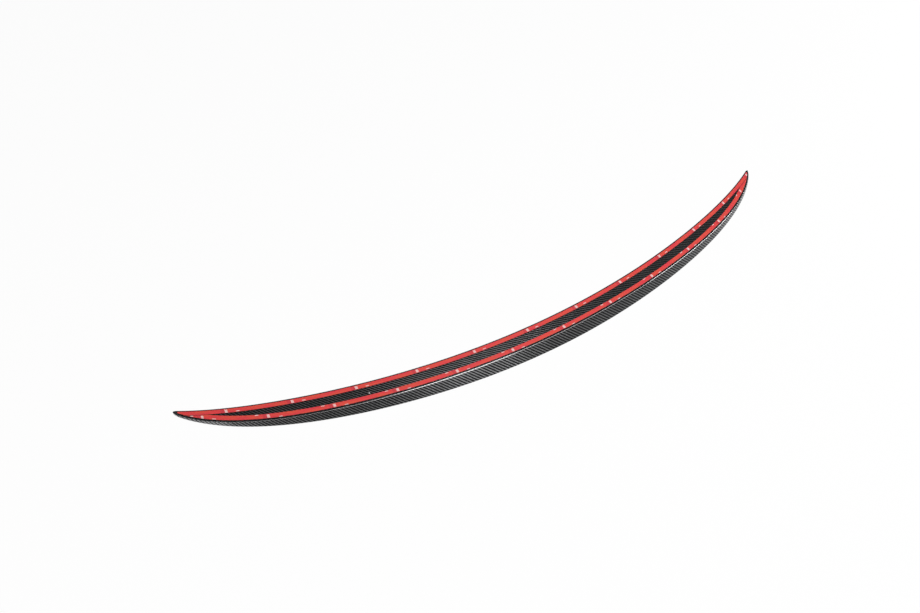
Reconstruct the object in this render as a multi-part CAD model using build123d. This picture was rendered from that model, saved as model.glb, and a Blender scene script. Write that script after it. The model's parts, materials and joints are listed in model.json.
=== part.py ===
from build123d import *
import math
import os

# Car rear spoiler: a slim carbon-fibre lip that is taped along the rear edge of a boot lid. It is drawn
# upside down, as it lies on a bench: X across the car, Y towards its front, Z up out of the bonding side.
# Plan curves belong to the bonding side, whose height over X follows the crown of the boot lid.

# Driving dimensions, in millimetres
span = 1318.0  # between the points where the front edge and the rear rim would meet
bow = 122.6  # how far the front edge bends forward from the middle to the tips
tip_hook = 10.4  # further bend, nearly all in the last stretch before each tip
crown = 21.3  # height of the tips over the middle of the bonding side
bonding_depth = 42.7  # front edge to rear rim, at the middle
edge_thickness = 2.8  # front edge and tips
lip_height = 21.7  # bonding side to the lip's corner before it is bevelled, at the middle
lip_overhang = 13.9  # how far that corner lies behind the rear rim
tip_rise = 5.8  # rise of the outer face over the full depth, if a tip were that deep
tip_radius = 3.0
rim_radius = 1.0  # rounding round the bonding side
lip_bevel = 0.7  # flat bevel round the outer face
tape_width = 9.0
foam_thickness = 0.8
liner_thickness = 0.2
front_margin = 2.5  # bare strip in front of the front tape
rear_margin = 3.3  # bare strip behind the rear tape
tape_end = 10.0  # bare length between each end of the front tape and the end of the span
tape_creep = 0.6  # the tapes lie this much closer to the edges at the tips
seam = 0.8  # gap where the rear tape butts against the front tape

# Shape of the curves
hook_power = 10  # a high power keeps the hook close to the tips
taper_power = 7.4  # the bonding side keeps its depth until close to the tips,
taper_round = 0.72  # then draws in along a rounded end
rim_share = 0.995  # of the half span: past it the rim turns square to its line
steps = 20  # curve points from the middle to a tip, closer together near the tip
wall_share = 0.9  # the most of the front wall that its rounding and bevel may take together
creep_power = 4  # the creep gathers towards the tips

half_span = span / 2
full_depth = bonding_depth + lip_overhang
lean = lip_overhang / lip_height  # the rear face goes back this far for each millimetre that it goes down
spare = 20.0  # how far cutting shapes reach past what they cut
stations = [half_span * math.sin(math.radians(90 * i / steps)) for i in range(-steps, steps + 1)]
long_stations = [-half_span - spare] + stations + [half_span + spare]


def front_edge(x):
    u = x / half_span
    return bow * u**2 + tip_hook * u**hook_power


def rim_line(x):
    u = min(abs(x) / half_span, 1.0)
    return front_edge(x) - bonding_depth * (1 - u**taper_power) ** taper_round


def crown_height(x):
    """Height of the bonding side: in step with the front edge, so that the edge lies in one plane"""
    return crown * front_edge(x) / (bow + tip_hook)


def crown_slab(low, high):
    """Everything between two heights over the bonding side, wider than the spoiler is deep"""
    under, over = [Spline(*[(x, 0, crown_height(x) + h) for x in long_stations]) for h in (low, high)]
    sides = [Line(under @ end, over @ end) for end in (0, 1)]
    behind = full_depth + lean * (crown + spare) + spare
    ahead = bow + tip_hook + spare
    face = Pos(0, -behind, 0) * make_face(Curve() + [under, over] + sides)
    return extrude(face, behind + ahead, dir=(0, 1, 0))


# Blade: the outline of the bonding side is pushed down along the slope of the rear face, then cut to the
# crown above and to the outer face below. The outer face is a ducktail, flat in front and curling to the lip.
head = crown + spare


def leaned(x, y):
    """Plan point of the bonding side, followed up the slope of the rear face to the top of the blank"""
    return (x, y + lean * (head - crown_height(x)), head)


def outer_drop(x, behind):
    """Depth of the outer face under the bonding side, at a distance behind the front edge"""
    middle_rise = lip_height - edge_thickness
    rise = middle_rise + (tip_rise - middle_rise) * (x / half_span) ** 2
    share = behind / full_depth
    return edge_thickness + rise * (share + share**2) / 2


def outer_section(x):
    """Section of all that lies under the outer face, whose own profile is a parabola"""
    start, end = -spare, full_depth + 2 * spare
    middle = (start + end) / 2
    handle_drop = 2 * outer_drop(x, middle) - (outer_drop(x, start) + outer_drop(x, end)) / 2
    handles = [(start, outer_drop(x, start)), (middle, handle_drop), (end, outer_drop(x, end))]
    profile = Bezier(*[(x, front_edge(x) - t, crown_height(x) - drop) for t, drop in handles])
    floor = -outer_drop(0, end) - spare
    corners = [profile @ 1, (x, front_edge(x) - end, floor), (x, front_edge(x) - start, floor), profile @ 0]
    return make_face(Curve() + [profile, Polyline(*corners)])


front = Spline(*[leaned(x, front_edge(x)) for x in stations])
rim = Spline(*[leaned(x, rim_line(x)) for x in stations])
outline = make_face(Curve() + [front, rim])
outline = fillet(outline.vertices(), tip_radius)
slope = Vector(0, -lip_overhang, -lip_height).normalized()
blank = extrude(outline, (head + lip_height + spare) / -slope.Z, dir=slope)
blade = blank - crown_slab(0, head + spare) - loft([outer_section(x) for x in long_stations])

# The front wall is the narrowest that the rounding and the bevel share, so it limits them
wall_angle = math.atan2(lip_height, lip_overhang)
wall = edge_thickness / math.sin(wall_angle)
eased = rim_radius / math.tan(wall_angle / 2) + lip_bevel
ease = min(1.0, wall_share * wall / eased)
bonding_side = blade.faces().sort_by(SortBy.AREA)[-2]
blade = fillet(bonding_side.edges(), rim_radius * ease)
outer_face = blade.faces().sort_by(SortBy.AREA)[-1]
blade = chamfer(outer_face.edges(), lip_bevel * ease)


# Mounting tape: two strips of constant width, one along the front edge and one along the rear rim. The front
# one runs from tip to tip, and the rear one is cut to butt against it. Each is foam under a release film.
def beside(line, x, distance):
    """Point beside the plan curve y = line(x), moved forward along its normal"""
    step = 0.01
    grade = (line(x + step) - line(x - step)) / (2 * step)
    run = math.hypot(1, grade)
    return (x - distance * grade / run, line(x) + distance / run)


def band(line, low, high, reach, creep):
    """Upright block over a plan strip in front of a curve, between two distances that creep at the tips"""
    places = [x for x in stations if abs(x) <= reach]
    extra = [creep * (x / half_span) ** creep_power for x in places]
    edges = [Spline(*[beside(line, x, d + e) for x, e in zip(places, extra)]) for d in (low, high)]
    ends = [Line(edges[0] @ end, edges[1] @ end) for end in (0, 1)]
    return extrude(make_face(Curve() + edges + ends), crown + spare)


rim_reach = rim_share * half_span
inner_edge = front_margin + tape_width
tape_length = span - 2 * tape_end
front_strip = band(front_edge, -inner_edge, -front_margin, half_span, tape_creep)
front_strip -= band(rim_line, -spare, rear_margin, rim_reach, -tape_creep)
front_strip &= Box(tape_length, span, span)
rear_strip = band(rim_line, rear_margin, rear_margin + tape_width, rim_reach, -tape_creep)
rear_strip -= band(front_edge, -inner_edge - seam, spare, half_span, tape_creep)
foam_layer = crown_slab(0, foam_thickness)
liner_layer = crown_slab(foam_thickness, foam_thickness + liner_thickness)
pieces = {
    "spoiler_blade": blade,
    "front_tape": front_strip & foam_layer,
    "front_tape_liner": front_strip & liner_layer,
    "rear_tape": rear_strip & foam_layer,
    "rear_tape_liner": rear_strip & liner_layer,
}

# At rest the spoiler lies on the middle of its lip and on its two tips. The origin is under its middle.
box = blade.bounding_box()
rest_angle = math.degrees(math.atan2(box.size.Z - edge_thickness, box.size.Y))
at_rest = {name: Rot(-rest_angle, 0, 0) * piece for name, piece in pieces.items()}
box = Compound(list(at_rest.values())).bounding_box()
os.makedirs("parts", exist_ok=True)
for name, piece in at_rest.items():
    export_step(Pos(0, -box.center().Y, -box.min.Z) * piece, f"parts/{name}.step")
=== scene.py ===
import json
import math

import bpy
from mathutils import Euler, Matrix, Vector


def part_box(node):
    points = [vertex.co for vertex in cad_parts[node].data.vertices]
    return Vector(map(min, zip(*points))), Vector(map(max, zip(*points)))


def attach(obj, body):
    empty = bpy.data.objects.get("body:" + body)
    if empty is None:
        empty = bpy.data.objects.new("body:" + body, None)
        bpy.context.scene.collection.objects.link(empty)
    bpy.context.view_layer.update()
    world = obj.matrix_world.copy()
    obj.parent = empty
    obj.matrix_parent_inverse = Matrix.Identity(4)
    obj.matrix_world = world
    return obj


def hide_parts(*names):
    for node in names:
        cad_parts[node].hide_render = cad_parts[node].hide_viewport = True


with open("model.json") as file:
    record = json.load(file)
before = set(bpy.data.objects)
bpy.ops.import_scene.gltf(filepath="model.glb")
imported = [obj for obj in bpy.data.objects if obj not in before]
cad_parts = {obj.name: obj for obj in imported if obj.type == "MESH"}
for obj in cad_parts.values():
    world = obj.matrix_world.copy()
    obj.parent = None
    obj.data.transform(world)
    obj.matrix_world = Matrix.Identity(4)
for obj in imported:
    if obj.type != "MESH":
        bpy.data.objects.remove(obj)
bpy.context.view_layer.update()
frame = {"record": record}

# Blade: one crescent lip, moulded in carbon-fibre twill under clear lacquer. It lies upside down, so its
# bonding side is up, and its rear face and lip are behind. Each point of the bonding side is followed down
# the slope of the rear face to the outer face, which curls like a duck's tail. Sizes are in millimetres.
millimetre = 0.001
half_span = 659.0  # to the point where the front edge and the rear rim would meet
bow = 122.6  # how far the front edge bends forward from the middle to the tips
tip_hook = 10.4  # further bend, nearly all in the last stretch before each tip
crown = 21.3  # height of the tips over the middle of the bonding side
bonding_depth = 42.7  # front edge to rear rim, at the middle
edge_thickness = 2.8
lip_height = 21.7  # bonding side to the lip's corner, at the middle
lip_overhang = 13.9  # how far that corner lies behind the rear rim
tip_rise = 5.8  # rise of the outer face over the full depth, if a tip were that deep
tip_length = 7.0  # stretch in which the front edge and the rim close in a round tip
rim_round = 1.0
lip_round = 0.6
low_round = 0.6  # where the outer face meets the front wall
front_round = 0.2
hook_power = 10
taper_power = 7.4  # the bonding side keeps its depth until close to the tips,
taper_round = 0.72  # then draws in along a rounded end
front_margin = 2.5  # bare strip in front of the mounting tape
tape_width = 9.0
tape_thickness = 1.0
lean = lip_overhang / lip_height
full_depth = bonding_depth + lip_overhang
tip_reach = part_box("spoiler_blade")[1][0] / millimetre
front_bond = frame["record"]["mounts"][0]
bond_turn = Vector((0, 0, 1)).rotation_difference(Vector(front_bond["axis"])).to_euler()
bond_middle = Vector((0, -front_margin - tape_width / 2, tape_thickness)) * millimetre
bond_shift = Vector(front_bond["pos_m"]) - bond_turn.to_matrix() @ bond_middle
weld = 1e-6  # points closer than this, in metres, become one


def two_way(operation):
    """Two methods of a wire for one kind of sum: with the wire first, and with the wire second"""
    def wire_first(wire, other):
        return wire.maths(operation, wire, other)

    def wire_second(wire, other):
        return wire.maths(operation, other, wire)

    return wire_first, wire_second


class Wire:
    """One output of a node, so that node maths reads as sums"""

    def __init__(self, tree, socket=None):
        self.tree = tree
        self.socket = socket

    def node(self, kind, settings=(), sockets=(), out=0):
        """A new node: its settings first, then the values or wires of its sockets. Gives one output."""
        made = self.tree.nodes.new(kind)
        for name, value in dict(settings).items():
            setattr(made, name, value)
        for key, value in dict(sockets).items():
            if isinstance(value, Wire):
                self.tree.links.new(value.socket, made.inputs[key])
            else:
                made.inputs[key].default_value = value
        return Wire(self.tree, made.outputs[out] if made.outputs else None)

    def other(self, out):
        """Another output of the same node"""
        return Wire(self.tree, self.socket.node.outputs[out])

    def feed(self, socket):
        """Link this output to a socket of a shader"""
        self.tree.links.new(self.socket, socket)

    def maths(self, operation, *values):
        """A Math node on these values"""
        return self.node("ShaderNodeMath", {"operation": operation}, enumerate(values))

    __add__, __radd__ = two_way("ADD")
    __sub__, __rsub__ = two_way("SUBTRACT")
    __mul__, __rmul__ = two_way("MULTIPLY")
    __truediv__, __rtruediv__ = two_way("DIVIDE")
    __pow__, __rpow__ = two_way("POWER")
    __mod__, __rmod__ = two_way("FLOORED_MODULO")
    __gt__, __lt__ = two_way("GREATER_THAN")

    def __abs__(self):
        return self.maths("ABSOLUTE", self)

    def clip(self, low=0.0, high=1.0):
        """This value kept between two limits"""
        return self.maths("MAXIMUM", self.maths("MINIMUM", self, high), low)

    def toward(self, goal, share):
        """This value moved by a share of the way to another"""
        return self + share * (goal - self)


def form_tree(name, sizes):
    """Empty geometry tree with one named input for each size, and a wire from each"""
    tree = bpy.data.node_groups.new(name, "GeometryNodeTree")
    tree.interface.new_socket("Geometry", in_out="OUTPUT", socket_type="NodeSocketGeometry")
    for size in sizes:
        tree.interface.new_socket(size, in_out="INPUT", socket_type="NodeSocketFloat")
    entry = tree.nodes.new("NodeGroupInput")
    return tree, {size: Wire(tree, entry.outputs[size]) for size in sizes}


def lattice(tree, stations, columns):
    """Flat grid that a form is bent from: its mesh, each point's place from end to end as -1 to 1, its
    column round the section, and a mark on the points of the two ends"""
    graph = Wire(tree)
    grid = graph.node("GeometryNodeMeshGrid", (), {
        "Size X": 2.0, "Size Y": float(columns), "Vertices X": stations, "Vertices Y": columns + 1})
    along = graph.node("ShaderNodeSeparateXYZ", (), {0: graph.node("GeometryNodeInputPosition")})
    column = columns / 2 - along.other("Y")
    at_end = abs(along) > 1 - 1 / stations
    return grid, along, column, at_end


def ring(column, stretches):
    """How far a column has come along each stretch of a section, from 0 to 1"""
    start = 0
    for count in stretches:
        yield ((column - start) / count).clip()
        start += count


def close_tree(tree, grid, point, pattern, pattern_name, material, smooth):
    """Last nodes of a form: bend the grid, keep its pattern coordinates, turn it to where it lies, weld its
    seams and give it its finish"""
    flat = grid.node("ShaderNodeCombineXYZ", (), enumerate(pattern))
    mapped = grid.node("GeometryNodeStoreNamedAttribute", {"data_type": "FLOAT2", "domain": "CORNER"}, {
        "Geometry": grid, "Name": pattern_name, "Value": flat})
    spot = grid.node("ShaderNodeCombineXYZ", (), enumerate(point))
    bent = grid.node("GeometryNodeSetPosition", (), {"Geometry": mapped, "Position": spot})
    placed = grid.node("GeometryNodeTransform", (), {
        "Geometry": bent, "Translation": bond_shift, "Rotation": bond_turn, "Scale": [millimetre] * 3})
    welded = grid.node("GeometryNodeMergeByDistance", (), {"Geometry": placed, "Distance": weld})
    shaded = grid.node("GeometryNodeSetShadeSmooth", (), {"Geometry": welded, "Shade Smooth": smooth})
    real = grid.node("GeometryNodeRealizeInstances", (), {"Geometry": shaded})
    done = grid.node("GeometryNodeSetMaterial", (), {"Geometry": real, "Material": material})
    grid.node("NodeGroupOutput", (), {0: done})


def formed(name, tree, sizes):
    """Plain mesh object of a geometry tree with these sizes, its normals weighted by area"""
    piece = bpy.data.objects.new(name, bpy.data.meshes.new(name))
    bpy.context.scene.collection.objects.link(piece)
    form = piece.modifiers.new("form", "NODES")
    form.node_group = tree
    for socket in tree.interface.items_tree:
        if socket.in_out == "INPUT":
            form[socket.identifier] = float(sizes[socket.name])
    piece.modifiers.new("normals", "WEIGHTED_NORMAL")
    depsgraph = bpy.context.evaluated_depsgraph_get()
    mesh = bpy.data.meshes.new_from_object(piece.evaluated_get(depsgraph))
    piece.modifiers.clear()
    piece.data = mesh
    mesh.name = name
    return piece


def front_edge(x, size):
    """Plan line of the front edge"""
    u = x / size["Half span"]
    return size["Bow"] * u * u + size["Tip hook"] * u**hook_power


def taper(x, size):
    """Depth of the bonding side, front edge to rear rim"""
    u = abs(x) / size["Half span"]
    return size["Bonding depth"] * (1 - u**taper_power) ** taper_round


def crown_height(x, size):
    """Height of the bonding side: in step with the front edge, so that the edge lies in one plane"""
    return size["Crown"] * front_edge(x, size) / (size["Bow"] + size["Tip hook"])


def arc_length(x, size):
    """Length along the bowed blade from its middle, by the first terms of its series"""
    bend = 2 * size["Bow"] * x / (size["Half span"] * size["Half span"])
    return x * (1 + bend * bend / 6)


plan_sizes = {"Half span": half_span, "Bow": bow, "Tip hook": tip_hook, "Crown": crown,
              "Bonding depth": bonding_depth}
blade_sizes = {**plan_sizes, "Tip reach": tip_reach, "Tip length": tip_length,
               "Edge thickness": edge_thickness, "Middle rise": lip_height - edge_thickness,
               "Tip rise": tip_rise, "Lean": lean, "Full depth": full_depth, "Rim round": rim_round,
               "Lip round": lip_round, "Low round": low_round, "Front round": front_round}
blade_stations = 421
blade_columns = (12, 4, 8, 4, 16, 4, 2, 4)  # a side of the section, then its corner, from the bonding side on
rim_power, lip_power, low_power, front_power = 1.25, 1.6, 2.0, 2.0  # 1 would be a flat bevel, 2 is a round
most_round = 0.4  # of the side that a rounding takes its room from
least_depth = 0.001  # keeps the closed tips from dividing by nothing

tree, size = form_tree("blade_form", blade_sizes)
grid, along, column, at_end = lattice(tree, blade_stations, sum(blade_columns))
x = size["Tip reach"] * grid.maths("SINE", along * (math.pi / 2))
front = front_edge(x, size)
to_tip = ((abs(x) - size["Tip reach"] + size["Tip length"]) / size["Tip length"]).clip()
depth = taper(x, size) * grid.maths("SQRT", (1 - to_tip * to_tip).clip())
lead = front - (taper(x, size) - depth) / 2  # the front edge as it rounds into a tip
u = x / size["Half span"]
rise = size["Middle rise"].toward(size["Tip rise"], u * u)


def outer_depth(share):
    """Depth of the outer face under a share of the bonding side, straight down the slope of the rear face"""
    slant = size["Lean"] / size["Full depth"]
    start = (front - lead + share * depth) / size["Full depth"]
    flat = 1 - rise / 2 * slant * (1 + 2 * start)
    base = size["Edge thickness"] + rise / 2 * start * (1 + start)
    root = grid.maths("SQRT", flat * flat - 2 * rise * slant * slant * base)
    return 2 * base / (flat + root)


def eased(share):
    """The same way from 0 to 1 with slow ends, which gathers columns at the corners"""
    return share * share * (3 - 2 * share)


bonding, rim, rear, lip, outer, low, wall, edge = ring(column, blade_columns)
slope_run = math.hypot(1, lean)
rear_run = outer_depth(1) * slope_run
wall_run = outer_depth(0) * slope_run
rounds = [size[name] for name in ("Rim round", "Lip round", "Low round", "Front round")]
rim_in, lip_in, low_in, edge_in = [(r / (depth + least_depth)).clip(0, most_round) for r in rounds]
rim_down, lip_up, low_up, edge_down = [
    (r / run).clip(0, most_round) for r, run in zip(rounds, (rear_run, rear_run, wall_run, wall_run))]
across = (edge_in + eased(bonding) * (1 - rim_in - edge_in) + rim_in * (1 - (1 - rim) ** rim_power)
          - lip_in * lip**lip_power - eased(outer) * (1 - lip_in - low_in)
          - low_in * (1 - (1 - low) ** low_power) + edge_in * edge**front_power)
down = (rim_down * rim**rim_power + eased(rear) * (1 - rim_down - lip_up)
        + lip_up * (1 - (1 - lip) ** lip_power) - low_up * low**low_power
        - wall * (1 - low_up - edge_down) - edge_down * (1 - (1 - edge) ** front_power))
down = down.toward(0.5, at_end)  # the last section at each tip closes to a point
drop = down * outer_depth(across)
past_rim = rim > 0.5
weave_across = (across * depth).toward(
    size["Bonding depth"] + down * rear_run + (1 - across) * depth, past_rim)
blade_point = (x, lead - across * depth - size["Lean"] * drop, crown_height(x, size) - drop)
weave_place = (arc_length(x, size), weave_across)
on_bonding = (1 - past_rim) * (bonding > 0)
from_edge = size["Bonding depth"].toward((0.5 - abs(across - 0.5)) * depth, on_bonding)
edged = grid.node("GeometryNodeStoreNamedAttribute", {"data_type": "FLOAT", "domain": "POINT"}, {
    "Geometry": grid, "Name": "from_edge", "Value": from_edge})


def finish(name, shine):
    """New material: its shader set to these constants, a wire to start its maths from, and its sockets"""
    material = bpy.data.materials.new(name)
    material.use_nodes = True
    shader = material.node_tree.nodes["Principled BSDF"]
    for socket, value in shine.items():
        shader.inputs[socket].default_value = value
    return material, Wire(material.node_tree), shader.inputs


mix_sockets = {"RGBA": (6, 7, 2), "VECTOR": (4, 5, 1)}  # a mix node's first, second and result


def blend(share, first, second, kind="RGBA"):
    """Colour or vector between two others, each a value or a wire"""
    low, high, result = mix_sockets[kind]
    return share.node("ShaderNodeMix", {"data_type": kind}, {0: share, low: first, high: second}, result)


def noise(graph, vector, scale, detail):
    """Smooth noise over a plane, from 0 to 1"""
    return graph.node("ShaderNodeTexNoise", {"noise_dimensions": "2D"}, {
        "Vector": vector, "Scale": scale, "Detail": detail})


def varied(cloud, amount):
    """Factor round 1 that follows a noise"""
    return 1 + amount * (cloud - 0.5)


tow = 1.75  # width of one bundle of fibres
twill_repeat = 4  # tows: two over, then two under
fibres_along, fibres_across = 0.5, 22.0  # noise cells over a tow's width
fibre_change = 0.6
drape_scale = 0.02  # slow change of the cloth's tone, cells for each millimetre
drape_change = 0.8
sheen_on_crest = 1.2  # painted highlight: a weft tow is painted lightest at the top of its arch
# Warp and weft are one black fibre: the twill pattern is real, and the light colour of the weft tows is
# painted sheen
dark_tow = (0.007, 0.0072, 0.0076, 1)
sheen_tow = (0.410, 0.415, 0.422, 1)
tow_rough, fibre_rough = 0.38, 0.1
speck_colour = (0.8, 0.8, 0.8, 1)
speck_place = (-340.0, 25.2)  # a fleck of dust under the lacquer, along the blade and behind its front edge
speck_radius = 1.3
bead_colour = (0.152, 0.153, 0.155, 1)  # the rim is a bead of polished resin, with no cloth in it
bead_width, bead_soft = 0.8, 0.3
bead_rough = 0.15
plain_width, plain_soft = 3.0, 0.5  # next to the edges of the bonding side, the colour is plain dark and the weave is left out
carbon, paint, surface = finish("carbon_twill", {
    "Coat Weight": 1.0, "Coat Roughness": 0.03, "Coat IOR": 1.4, "Specular IOR Level": 0.1})
cloth = paint.node("ShaderNodeUVMap", {"uv_map": "weave"})
cloth_along = paint.node("ShaderNodeSeparateXYZ", (), {0: cloth})
cloth_across = cloth_along.other("Y")
warp_way = cloth_along / tow
weft_way = cloth_across / tow
warp_in = warp_way % 1.0
weft_in = weft_way % 1.0
turn = (warp_way - warp_in - weft_way + weft_in) % twill_repeat
weft_up = turn > twill_repeat / 2 - 0.5
arch_turn = math.pi / (twill_repeat / 2)
warp_arch = paint.maths("SINE", (turn + warp_in) * arch_turn)
weft_arch = paint.maths("SINE", (twill_repeat - 1 - turn + weft_in) * arch_turn)
warp_height = 0.5 * (1 - (2 * weft_in - 1) ** 2) + 0.5 * warp_arch
weft_height = 0.5 * (1 - (2 * warp_in - 1) ** 2) + 0.5 * weft_arch
tow_height = warp_height.toward(weft_height, weft_up)
warp_fibres = paint.node("ShaderNodeCombineXYZ", (), {
    0: warp_way * fibres_along, 1: weft_way * fibres_across})
weft_fibres = paint.node("ShaderNodeCombineXYZ", (), {
    0: warp_way * fibres_across, 1: weft_way * fibres_along})
fibres = noise(paint, blend(weft_up, warp_fibres, weft_fibres, "VECTOR"), scale=1.0, detail=2.0)
drape = noise(paint, cloth, scale=drape_scale, detail=2.0)
# painted sheen, strongest on the crest of each weft tow
crest_sheen = sheen_on_crest * weft_height * weft_height
sheen_share = (weft_up * crest_sheen * varied(fibres, fibre_change) * varied(drape, drape_change)).clip()
speck_offset = paint.node("ShaderNodeVectorMath", {"operation": "DISTANCE"}, {
    0: cloth, 1: (*speck_place, 0)}, "Value")
speck = speck_offset < speck_radius
edge_gap = paint.node("ShaderNodeAttribute", {"attribute_name": "from_edge"}, (), "Fac")
plain_edge = ((plain_width - edge_gap) / plain_soft).clip()
bead = ((bead_width - abs(cloth_across - bonding_depth)) / bead_soft).clip()
tow_colour = blend(speck, blend(sheen_share, dark_tow, sheen_tow), speck_colour)
tow_colour = blend(bead, blend(plain_edge, tow_colour, dark_tow), bead_colour)
tow_colour.feed(surface["Base Color"])
(weft_up * (1 - speck) * (1 - plain_edge)).toward(1, bead).feed(surface["Metallic"])
(tow_rough - fibre_rough * fibres).toward(bead_rough, bead).feed(surface["Roughness"])
weave_bump = paint.node("ShaderNodeBump", (), {
    "Strength": 0.2, "Distance": 0.0002, "Height": tow_height * (1 - bead) * (1 - plain_edge)})
weave_bump.feed(surface["Normal"])

close_tree(tree, edged, blade_point, weave_place, "weave", carbon, True)
blade = formed("carbon_blade", tree, blade_sizes)
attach(blade, "root")
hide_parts("spoiler_blade")

# Mounting tape, foam: two strips of closed-cell acrylic foam, stuck along the front edge and the rear rim
# while the blade lies on its back. The front strip runs from tip to tip, and the rear one is cut to butt
# against it.
rear_margin = 3.3
tape_end = 13.0  # bare length between each end of the front strip and the end of the span
tape_creep = 0.6  # the strips lie this much closer to the edges at the tips
tape_stretch = 1.2  # bending round the blade pulls the front strip this much narrower at the tips
creep_power = 4
seam = 0.8
foam_thickness = 0.8
front_further, rear_further = 3.0, 17.6  # length that a strip gains as it follows the hook and the rim's end
further_power = 10.4
front_mark, rear_mark = -19.3, -67.2  # place of one printed mark along each strip
tape_stations = 401
tape_columns = (8, 2, 8, 2)  # top, rear side, bottom, front side
tape_sizes = {**plan_sizes, "Front margin": front_margin, "Rear margin": rear_margin, "Width": tape_width,
              "Creep": tape_creep, "Stretch": tape_stretch, "Seam": seam}


def grade(line, x, size):
    """Slope of a plan line"""
    step = 0.5
    return (line(x + step, size) - line(x - step, size)) / (2 * step)


def beside(line, x, size, distance):
    """Line at a distance in front of a plan line, measured square to it"""
    slope = grade(line, x, size)
    foot = x + distance * slope / (1 + slope * slope) ** 0.5
    foot_slope = grade(line, foot, size)
    return line(foot, size) + distance / (1 + foot_slope * foot_slope) ** 0.5


def rim_line(x, size):
    """Plan line of the rear rim"""
    return front_edge(x, size) - taper(x, size)


def tip_share(x, size):
    """Share of what gathers towards the tips"""
    return (x / size["Half span"]) ** creep_power


def behind_front(x, size, distance):
    """Line at a distance behind the front edge"""
    return beside(front_edge, x, size, size["Creep"] * tip_share(x, size) - distance)


def before_rim(x, size, distance):
    """Line at a distance in front of the rear rim"""
    return beside(rim_line, x, size, distance - size["Creep"] * tip_share(x, size))


def front_strip_rear(x, size, gap):
    """Line at a distance behind the front strip"""
    width = size["Width"] - size["Stretch"] * tip_share(x, size)
    return behind_front(x, size, size["Front margin"] + width + gap)


def seam_line(x, size):
    """Line along which the rear strip is cut"""
    return front_strip_rear(x, size, size["Seam"])


def front_strip(x, size):
    """Front and rear line of the front strip, which stops short of the rim near the tips"""
    rear = x.maths("MAXIMUM", front_strip_rear(x, size, 0), before_rim(x, size, size["Rear margin"]))
    return behind_front(x, size, size["Front margin"]), rear


def rear_strip(x, size):
    """Front and rear line of the rear strip, which is cut along the seam near the tips"""
    front = before_rim(x, size, size["Rear margin"] + size["Width"])
    return x.maths("MINIMUM", front, seam_line(x, size)), before_rim(x, size, size["Rear margin"])


def front_strip_reach(size):
    """Where a layer of the front strip ends"""
    return size["Half span"] - tape_end


def rear_strip_reach(size):
    """Where the seam has cut a layer of the rear strip down to nothing"""
    short, far = half_span / 2, half_span - tape_end
    closeness = 0.001
    while far - short > closeness:
        middle = (short + far) / 2
        if seam_line(middle, size) > before_rim(middle, size, size["Rear margin"]):
            short = middle
        else:
            far = middle
    return short


def tape_layer(name, lines, reach, further, first_mark, bottom, top, inset, material):
    """One layer of a strip: a thin flat band that follows the crown, with its length and width as pattern
    coordinates, counted from a printed mark and from its front side. It may stop short of the strip's side
    that faces the nearest edge."""
    sizes = {**tape_sizes, "Further": further, "First mark": first_mark, "Bottom": bottom, "Top": top,
             "Front margin": front_margin + inset, "Rear margin": rear_margin + inset,
             "Width": tape_width - inset}
    sizes["Reach"] = reach(sizes)
    tree, size = form_tree(name + "_form", sizes)
    grid, along, column, at_end = lattice(tree, tape_stations, sum(tape_columns))
    x = size["Reach"] * grid.maths("SINE", along * (math.pi / 2))
    over, behind, under, before = ring(column, tape_columns)
    across = (over - under).toward(0.5, at_end)
    down = (behind - before).toward(0.5, at_end)
    front, rear = lines(x, size)
    point = (x, front.toward(rear, across),
             crown_height(x, size) + size["Top"].toward(size["Bottom"], down))
    u = x / size["Half span"]
    gained = size["Further"] * u * abs(u) ** further_power
    slope = grade(front_edge, x, size)
    pattern = (arc_length(x, size) + gained - size["First mark"],
               across * (front - rear) / (1 + slope * slope) ** 0.5)
    close_tree(tree, grid, point, pattern, "strip", material, False)
    return formed(name, tree, sizes)


foam_colour = (0.030, 0.030, 0.032, 1)
pore_colour = (0.012, 0.012, 0.013, 1)
pores_per_metre = 5000.0
foam_rough, pore_rough = 0.75, 0.15
foam, paint, surface = finish("tape_foam", {"Specular IOR Level": 0.25})
cells = paint.node("ShaderNodeTexVoronoi", (), {
    "Vector": paint.node("ShaderNodeTexCoord", (), (), "Object"), "Scale": pores_per_metre})
blend(cells.clip(), pore_colour, foam_colour).feed(surface["Base Color"])
(foam_rough + pore_rough * cells).clip().feed(surface["Roughness"])
foam_bump = paint.node("ShaderNodeBump", (), {"Strength": 0.4, "Distance": 0.0001, "Height": cells})
foam_bump.feed(surface["Normal"])

strips = {"front": (front_strip, front_strip_reach, front_further, front_mark),
          "rear": (rear_strip, rear_strip_reach, rear_further, rear_mark)}
for side, strip in strips.items():
    layer = tape_layer(f"{side}_foam", *strip, bottom=0, top=foam_thickness, inset=0, material=foam)
    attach(layer, "root")
    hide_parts(f"{side}_tape")

# Mounting tape, film: the red release film that is peeled off each foam strip before it is stuck down. It is
# thin polyethylene, a little uneven in colour, printed with plain pale bars and dashes at a steady pitch.
film_crimson = (0.80, 0.054, 0.073, 1)
film_orange = (0.80, 0.090, 0.055, 1)
film_deep = (0.62, 0.048, 0.066, 1)
film_pale = (0.95, 0.63, 0.61, 1)
film_rough, streak_rough = 0.36, 0.16
streaks_along, streaks_across = 0.03, 0.25  # cells for each millimetre
streak_contrast = 3
film_inset = 0.45  # the film stops this far from the foam's outer side
mark_pitch = 112.5
mark_soft = 0.8
bar_length, bar_width = 4.6, 6.4
dash_length, dash_width = 6.0, 1.8
dashes = {"front": [(19.5, 6.2)], "rear": [(-19.0, 1.1), (20.0, 7.9)]}  # from a bar, and from the front side
shade_length = 7.0  # a darker patch leads up to each bar
pale_ink, deep_ink = 0.9, 0.75


def mark(along, across, place, length, width):
    """Share of a printed rectangle's ink at a point, with soft sides"""
    inside = [((extent / 2 - abs(way - middle)) / mark_soft + 0.5).clip()
              for way, middle, extent in zip((along, across), place, (length, width))]
    return inside[0] * inside[1]


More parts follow.
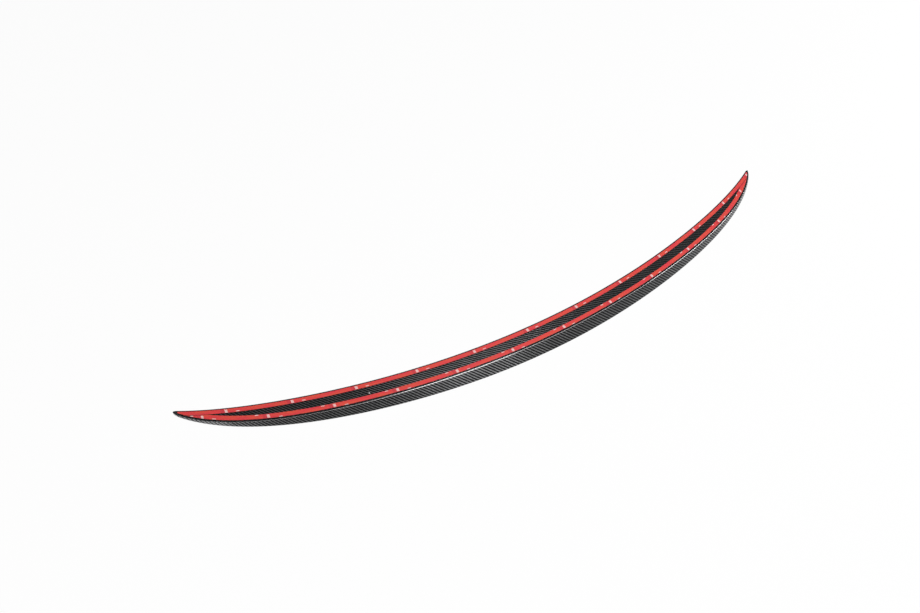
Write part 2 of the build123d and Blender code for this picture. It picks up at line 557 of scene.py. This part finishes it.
def release_film(name, dash_places):
    """Film with a bar at each mark and dashes at these places from it"""
    film, paint, surface = finish(name, {"Specular IOR Level": 0.4})
    spot = paint.node("ShaderNodeUVMap", {"uv_map": "strip"})
    along = paint.node("ShaderNodeSeparateXYZ", (), {0: spot})
    across = along.other("Y")
    from_mark = (along + mark_pitch / 2) % mark_pitch - mark_pitch / 2
    middle = tape_width / 2
    shade_place = ((-bar_length - shade_length) / 2, middle)
    shade = mark(from_mark, across, shade_place, shade_length, tape_width)
    pale = mark(from_mark, across, (0, middle), bar_length, bar_width)
    for place in dash_places:
        pale = pale + mark(from_mark, across, place, dash_length, dash_width)
    stretched = paint.node("ShaderNodeCombineXYZ", (), {
        0: along * streaks_along, 1: across * streaks_across})
    streaks = noise(paint, stretched, scale=1.0, detail=3.0)
    red = blend((0.5 + streak_contrast * (streaks - 0.5)).clip(), film_crimson, film_orange)
    inked = blend(deep_ink * shade, red, film_deep)
    inked = blend(pale_ink * pale.clip(), inked, film_pale)
    inked.feed(surface["Base Color"])
    (film_rough + streak_rough * streaks).feed(surface["Roughness"])
    ripple = paint.node("ShaderNodeBump", (), {"Strength": 0.3, "Distance": 0.0002, "Height": streaks})
    ripple.feed(surface["Normal"])
    return film


for side, strip in strips.items():
    film = release_film(f"{side}_release_film", dashes[side])
    layer = tape_layer(f"{side}_film", *strip, bottom=foam_thickness, top=tape_thickness,
                       inset=film_inset, material=film)
    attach(layer, "root")
    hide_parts(f"{side}_tape_liner")

# Floor, light and camera: a white table in a pale room, under a row of ceiling panels that the rim mirrors,
# with four cards round it. It is seen from above and behind the spoiler's left half. Sizes are in metres.
floor_reach = 6.0
floor_colour = (0.85, 0.85, 0.85, 1)
floor_glow = 0.95  # share of plain white that is seen, the rest keeps the shadow
floor_corners = [(-floor_reach, -floor_reach, 0), (floor_reach, -floor_reach, 0),
                 (floor_reach, floor_reach, 0), (-floor_reach, floor_reach, 0)]
floor_mesh = bpy.data.meshes.new("floor")
floor_mesh.from_pydata(floor_corners, [], [(0, 1, 2, 3)])
floor = bpy.data.objects.new("floor", floor_mesh)
bpy.context.scene.collection.objects.link(floor)
table = bpy.data.materials.new("white_table")
table.use_nodes = True
table.node_tree.nodes.clear()
paint = Wire(table.node_tree)
rays = paint.node("ShaderNodeLightPath", (), (), "Is Camera Ray")
seen = (rays + rays.other("Is Glossy Ray") + rays.other("Is Transmission Ray")).clip()
matt = paint.node("ShaderNodeBsdfDiffuse", (), {"Color": floor_colour})
glow = paint.node("ShaderNodeEmission", (), {"Color": (1, 1, 1, 1), "Strength": 1.0})
mixed = paint.node("ShaderNodeMixShader", (), {0: floor_glow * seen, 1: matt, 2: glow})
paint.node("ShaderNodeOutputMaterial", (), {"Surface": mixed})
floor_mesh.materials.append(table)

zenith_glow = 0.1
wall_top = 0.5  # sine of the height at which the pale walls have faded into the dark above
wall_fade = 3
world = bpy.data.worlds.new("studio")
bpy.context.scene.world = world
world.use_nodes = True
world.node_tree.nodes.clear()
paint = Wire(world.node_tree)
outward = paint.node("ShaderNodeTexCoord", (), (), "Generated")
sky = paint.node("ShaderNodeSeparateXYZ", (), {0: outward}, "Z")
wall_glow = zenith_glow + (1 - zenith_glow) * (1 - sky.clip() / wall_top).clip() ** wall_fade
studio = paint.node("ShaderNodeBackground", (), {"Color": (1, 1, 1, 1), "Strength": wall_glow})
paint.node("ShaderNodeOutputWorld", (), {"Surface": studio})

ceiling = 1.6


def panel(name, place, aim, width, depth, radiance):
    """Area lamp of this radiance, facing a point"""
    lamp = bpy.data.lights.new(name, "AREA")
    lamp.shape = "RECTANGLE"
    lamp.size = width
    lamp.size_y = depth
    lamp.energy = radiance * math.pi * width * depth
    holder = bpy.data.objects.new(name, lamp)
    holder.location = place
    holder.rotation_euler = (Vector(aim) - Vector(place)).to_track_quat("-Z", "Y").to_euler()
    holder.visible_camera = False
    bpy.context.scene.collection.objects.link(holder)


def ceiling_panel(name, x, y, width, depth, radiance):
    """Area lamp at the ceiling, facing straight down"""
    panel(name, (x, y, ceiling), (x, y, 0), width, depth, radiance)


ceiling_panel("left_strip", 0.07, -0.455, 0.72, 0.3, 12.5)
ceiling_panel("left_bank", -1.13, -0.42, 1.7, 0.5, 3.5)
ceiling_panel("middle_bank", 0.97, -0.465, 0.9, 0.3, 3.5)
ceiling_panel("right_strip", 1.91, -0.42, 0.75, 0.4, 14)
ceiling_panel("far_strip", 2.75, -0.40, 0.95, 0.5, 32)
panel("rear_card", (0.14, -1.81, 1.0), (-0.1, -0.1, 0), 0.7, 0.5, 3.6)
panel("left_card", (-2.15, -1.1, 0.17), (-0.55, 0.05, 0), 1.0, 0.25, 1.2)
panel("left_side", (-2.1, -0.1, 1.2), (-0.6, 0.05, 0), 0.8, 0.8, 2)
panel("front_card", (0.37, 0.98, 1.68), (-0.1, -0.05, 0), 0.3, 0.25, 11)

photo_width = 920
photo_focus = 617.36  # in pixels
camera = bpy.data.objects.new("camera", bpy.data.cameras.new("camera"))
camera.location = (-0.43378, -0.42444, 1.04988)
camera_aim = Vector((-0.10819, 0.06472, 0.00041))
camera_roll = math.radians(6.967)
camera.data.sensor_width = 36.0
camera.data.lens = camera.data.sensor_width * photo_focus / photo_width
look = (camera_aim - camera.location).to_track_quat("-Z", "Y")
camera.rotation_euler = (look @ Euler((0, 0, camera_roll)).to_quaternion()).to_euler()
bpy.context.scene.collection.objects.link(camera)
bpy.context.scene.camera = camera
bpy.context.scene.view_settings.view_transform = "Standard"
